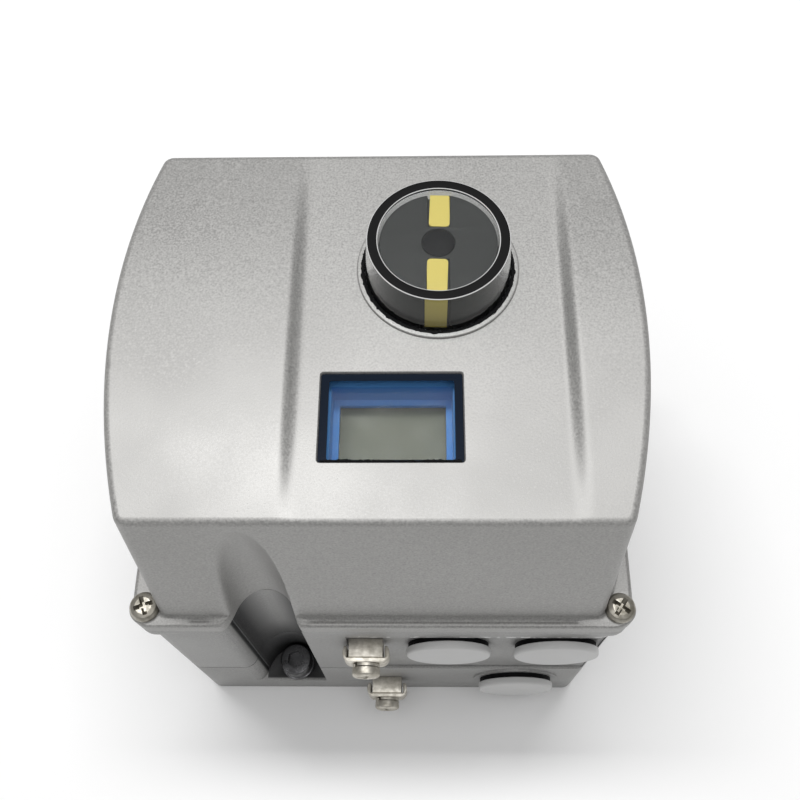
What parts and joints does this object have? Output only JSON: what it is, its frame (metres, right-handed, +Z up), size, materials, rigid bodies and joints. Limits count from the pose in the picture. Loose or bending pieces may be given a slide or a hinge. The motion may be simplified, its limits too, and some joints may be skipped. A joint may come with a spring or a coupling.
{
  "type": "valve positioner",
  "caption": "Valve positioner with a barrel-topped cover, round rotary position indicator, display window and cable entries, on a switch extension housing with a shaft drive.",
  "frame": {"origin": "feedback shaft axis in the plane of the mounting face", "axes": "+Z up along the feedback shaft, away from the actuator; -Y is the front wall with the cable entries"},
  "size_m": [0.1336, 0.1349, 0.1512],
  "materials": {
    "cover_paint": "fine textured silver paint",
    "housing_paint": "fine textured grey paint",
    "nickel_steel": "nickel plated",
    "zinc_steel": "zinc plated",
    "black_steel": "black oxide",
    "clear_window": "clear moulded",
    "seal_rubber": "matt",
    "display_mask": "dark navy",
    "bezel_blue": "satin",
    "lcd_glass": "satin",
    "board_green": "solder mask",
    "terminal_green": "moulded",
    "inner_plastic": "moulded",
    "key_plastic": "moulded",
    "valve_alloy": "machined",
    "bush_bronze": "machined",
    "shaft_steel": "ground",
    "cam_plastic": "moulded",
    "drum_plastic": "moulded",
    "stripe_yellow": "printed",
    "switch_blue": "moulded",
    "plug_grey": "moulded"
  },
  "bodies": {
    "case": {"main_cover": "cover_paint", "main_housing": "housing_paint", "extension_housing": "housing_paint", "cover_screws": "nickel_steel", "earth_saddles": "nickel_steel", "earth_washers": "nickel_steel", "earth_screws": "nickel_steel", "earth_blocks": "nickel_steel", "extension_screws": "zinc_steel", "retainer_screws": "zinc_steel", "bezel_screws": "zinc_steel", "inner_cover_screws": "zinc_steel", "board_screws": "zinc_steel", "terminal_screws": "zinc_steel", "bracket_screws": "zinc_steel", "switch_bracket": "zinc_steel", "mounting_screws": "black_steel", "mounting_washers": "black_steel", "indicator_window": "clear_window", "display_pane": "clear_window", "extension_gasket": "seal_rubber", "cover_gasket": "seal_rubber", "window_seal": "seal_rubber", "valve_gasket": "seal_rubber", "shaft_seal": "seal_rubber", "plug_seals": "seal_rubber", "display_seal": "display_mask", "display_bezel": "bezel_blue", "lcd_panel": "lcd_glass", "interface_board": "board_green", "main_board": "board_green", "sensor_board": "board_green", "terminal_block": "terminal_green", "switch_terminals": "terminal_green", "inner_cover": "inner_plastic", "keypad_frame": "inner_plastic", "window_retainer": "inner_plastic", "valve_body": "valve_alloy", "valve_end_caps": "valve_alloy", "prestage_unit": "valve_alloy", "lower_bush": "bush_bronze", "upper_bush": "bush_bronze", "lower_switch": "switch_blue", "upper_switch": "switch_blue", "conduit_plugs": "plug_grey"},
    "shaft": {"feedback_shaft": "shaft_steel", "shaft_circlip": "zinc_steel", "sensor_magnet": "inner_plastic", "lower_cam": "cam_plastic", "upper_cam": "cam_plastic", "indicator_drum": "drum_plastic", "indicator_stripes": "stripe_yellow", "indicator_screw": "drum_plastic"},
    "spool": {"valve_spool": "shaft_steel"},
    "key_1": {"key_1": "key_plastic"},
    "key_2": {"key_2": "key_plastic"},
    "key_3": {"key_3": "key_plastic"},
    "key_4": {"key_4": "key_plastic"}
  },
  "joints": [
    {"name": "shaft_turn", "type": "hinge", "parent": "case", "child": "shaft", "pos_m": [0, 0, 0], "axis": [0, 0, 1], "continuous": true},
    {"name": "spool_slide", "type": "slide", "parent": "case", "child": "spool", "axis": [0, 1, 0], "range_m": [-0.0015, 0.0015], "stiffness_N_per_m": 2000},
    {"name": "key_1_press", "type": "slide", "parent": "case", "child": "key_1", "axis": [0, 0, -1], "range_m": [0, 0.0005], "stiffness_N_per_m": 400},
    {"name": "key_2_press", "type": "slide", "parent": "case", "child": "key_2", "axis": [0, 0, -1], "range_m": [0, 0.0005], "stiffness_N_per_m": 400},
    {"name": "key_3_press", "type": "slide", "parent": "case", "child": "key_3", "axis": [0, 0, -1], "range_m": [0, 0.0005], "stiffness_N_per_m": 400},
    {"name": "key_4_press", "type": "slide", "parent": "case", "child": "key_4", "axis": [0, 0, -1], "range_m": [0, 0.0005], "stiffness_N_per_m": 400}
  ]
}
